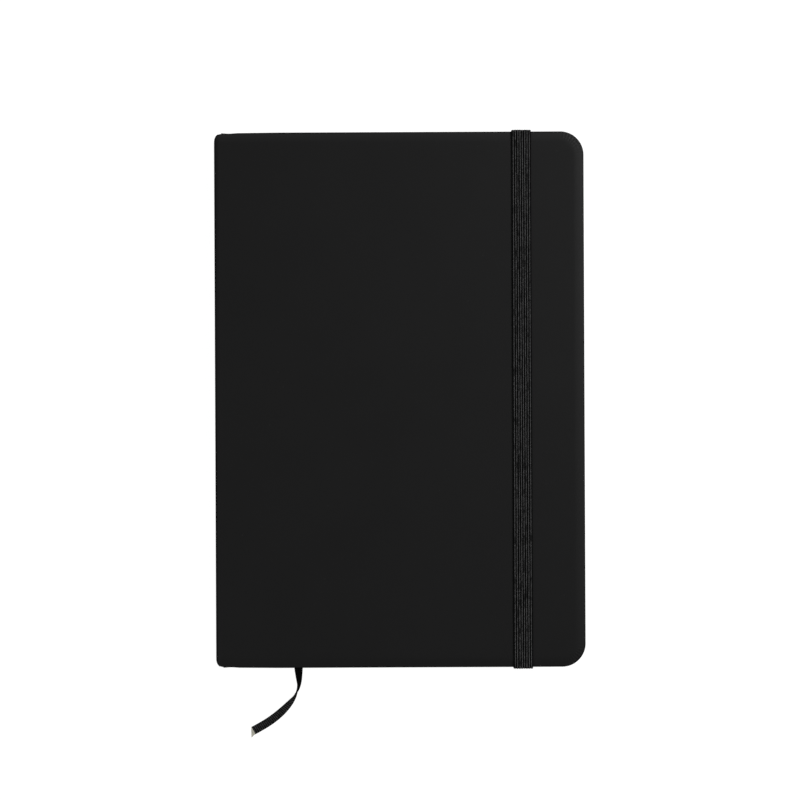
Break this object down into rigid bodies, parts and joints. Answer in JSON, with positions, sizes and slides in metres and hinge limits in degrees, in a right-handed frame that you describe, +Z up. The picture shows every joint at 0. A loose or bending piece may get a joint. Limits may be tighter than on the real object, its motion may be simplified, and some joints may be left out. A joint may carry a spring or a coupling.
{
  "type": "sketchbook",
  "caption": "Closed hard-cover sketchbook with sewn pages, rounded fore-edge corners, a ribbed elastic closure and a loose ribbon marker.",
  "frame": {"origin": "under the middle of the covers, on the back cover's outer face", "axes": "+X from the spine to the fore-edge, +Y from the tail to the head, +Z up through the thickness"},
  "size_m": [0.145, 0.2385, 0.0187],
  "materials": {
    "covering": "matte",
    "board": "matte",
    "endpaper": "matte",
    "page": "matte",
    "lining": "matte",
    "gauze": "matte",
    "thread": "matte",
    "headband": "satin",
    "elastic": "matte",
    "ribbon": "satin"
  },
  "bodies": {
    "back_cover": {"back_board": "board", "back_covering": "covering", "back_shoulder": "covering", "back_pastedown": "endpaper", "back_flyleaf": "endpaper", "signature_10": "page", "band_head_end": "elastic", "band_tail_end": "elastic"},
    "spine": {"spine_card": "board", "spine_covering": "covering", "spine_lining": "lining", "mull": "gauze", "sewing_thread": "thread", "head_band": "headband", "tail_band": "headband", "ribbon_anchor": "ribbon"},
    "front_joint": {"front_shoulder": "covering"},
    "front_cover": {"front_board": "board", "front_covering": "covering", "front_pastedown": "endpaper"},
    "signature_09": {"signature_09": "page"},
    "signature_08": {"signature_08": "page"},
    "signature_07": {"signature_07": "page"},
    "signature_06": {"signature_06": "page", "ribbon_marker": "ribbon", "ribbon_tail": "ribbon"},
    "signature_05": {"signature_05": "page"},
    "signature_04": {"signature_04": "page"},
    "signature_03": {"signature_03": "page"},
    "signature_02": {"signature_02": "page"},
    "signature_01": {"signature_01": "page", "front_flyleaf": "endpaper"},
    "band_legs": {"band_head_leg": "elastic", "band_tail_leg": "elastic"},
    "elastic_strap": {"elastic_strap": "elastic"}
  },
  "joints": [
    {"name": "book_opening", "type": "hinge", "parent": "signature_06", "child": "signature_05", "pos_m": [-0.07025, 0, 0.00903], "axis": [0, -1, 0], "range_deg": [0, 180]},
    {"name": "front_cover_hinge", "type": "hinge", "parent": "front_joint", "child": "front_cover", "pos_m": [-0.0696, 0, 0.01848], "axis": [0, -1, 0], "range_deg": [0, 180]},
    {"name": "band_swing", "type": "hinge", "parent": "back_cover", "child": "band_legs", "pos_m": [0.069, 0, 0.00903], "axis": [0, 1, 0], "range_deg": [0, 180], "deforming": ["band_head_leg", "band_tail_leg"]},
    {"name": "spine_fold", "type": "hinge", "parent": "back_cover", "child": "spine", "pos_m": [-0.07207, 0, 0.00043], "axis": [0, -1, 0], "range_deg": [0, 90]},
    {"name": "front_joint_fold", "type": "hinge", "parent": "spine", "child": "front_joint", "pos_m": [-0.07207, 0, 0.01763], "axis": [0, -1, 0], "range_deg": [0, 90]},
    {"name": "band_return", "type": "slide", "parent": "band_legs", "child": "elastic_strap", "axis": [1, 0, 0], "range_m": [0, 0.042]},
    {"name": "signature_09_fan", "type": "slide", "parent": "back_cover", "child": "signature_09", "axis": [-1, 0, 0], "range_m": [0, 0.0024]},
    {"name": "signature_08_fan", "type": "slide", "parent": "signature_09", "child": "signature_08", "axis": [-1, 0, 0], "range_m": [0, 0.0024]},
    {"name": "signature_07_fan", "type": "slide", "parent": "signature_08", "child": "signature_07", "axis": [-1, 0, 0], "range_m": [0, 0.0024]},
    {"name": "signature_06_fan", "type": "slide", "parent": "signature_07", "child": "signature_06", "axis": [-1, 0, 0], "range_m": [0, 0.0024]},
    {"name": "signature_04_fan", "type": "slide", "parent": "signature_05", "child": "signature_04", "axis": [1, 0, 0], "range_m": [0, 0.0024]},
    {"name": "signature_03_fan", "type": "slide", "parent": "signature_04", "child": "signature_03", "axis": [1, 0, 0], "range_m": [0, 0.0024]},
    {"name": "signature_02_fan", "type": "slide", "parent": "signature_03", "child": "signature_02", "axis": [1, 0, 0], "range_m": [0, 0.0024]},
    {"name": "signature_01_fan", "type": "slide", "parent": "signature_02", "child": "signature_01", "axis": [1, 0, 0], "range_m": [0, 0.0024]}
  ],
  "couplings": [
    {"joint": "spine_fold", "follows": "book_opening", "ratio": 0.5},
    {"joint": "front_joint_fold", "follows": "book_opening", "ratio": 0.5},
    {"joint": "band_return", "follows": "band_swing", "m_per_rad": 0.013369},
    {"joint": "signature_09_fan", "follows": "book_opening", "m_per_rad": 0.00076394},
    {"joint": "signature_08_fan", "follows": "book_opening", "m_per_rad": 0.00076394},
    {"joint": "signature_07_fan", "follows": "book_opening", "m_per_rad": 0.00076394},
    {"joint": "signature_06_fan", "follows": "book_opening", "m_per_rad": 0.00076394},
    {"joint": "signature_04_fan", "follows": "book_opening", "m_per_rad": 0.00076394},
    {"joint": "signature_03_fan", "follows": "book_opening", "m_per_rad": 0.00076394},
    {"joint": "signature_02_fan", "follows": "book_opening", "m_per_rad": 0.00076394},
    {"joint": "signature_01_fan", "follows": "book_opening", "m_per_rad": 0.00076394}
  ]
}
